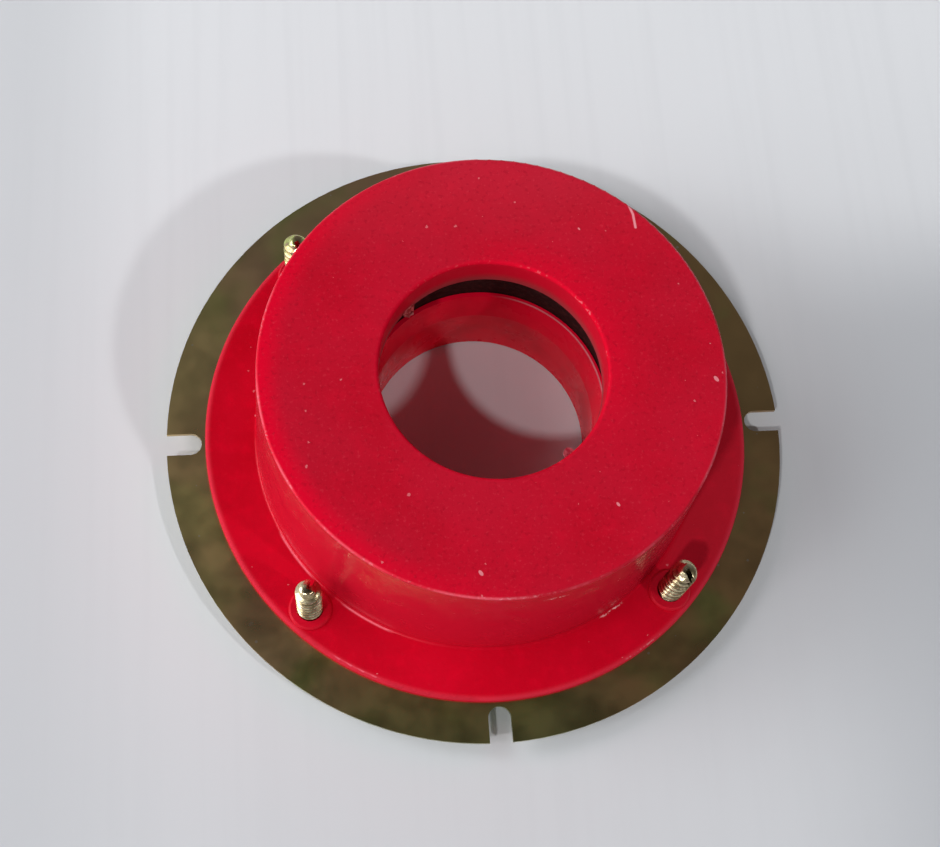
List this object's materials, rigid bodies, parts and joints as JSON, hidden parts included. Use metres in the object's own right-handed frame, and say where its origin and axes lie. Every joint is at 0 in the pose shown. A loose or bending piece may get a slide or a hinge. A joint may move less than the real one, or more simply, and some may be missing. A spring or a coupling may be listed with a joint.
{
  "type": "pipe fire collar",
  "caption": "Round moulded collar on a notched steel plate, with an intumescent ring round its bore that closes a plastic pipe's passage in a fire",
  "frame": {"origin": "On the pipe's axis, in the plane of the surface that the screw heads stand on", "axes": "+Z along the pipe, away from the plate; X and Y through the open notches of the plate"},
  "size_m": [0.1298, 0.1298, 0.042],
  "materials": {
    "zinc_plate": "yellow-passivated zinc, olive with faint rainbow patches",
    "red_moulding": "satin moulded polypropylene",
    "red_sleeve": "smooth thin-walled moulding",
    "graphite_ring": "matt graphite-filled compound",
    "zinc_screws": "bright yellow-passivated zinc on steel"
  },
  "bodies": {
    "root": {"mounting_plate": "zinc_plate", "collar_body": "red_moulding", "inner_sleeve": "red_sleeve", "intumescent_ring": "graphite_ring", "screws": "zinc_screws"}
  },
  "joints": []
}
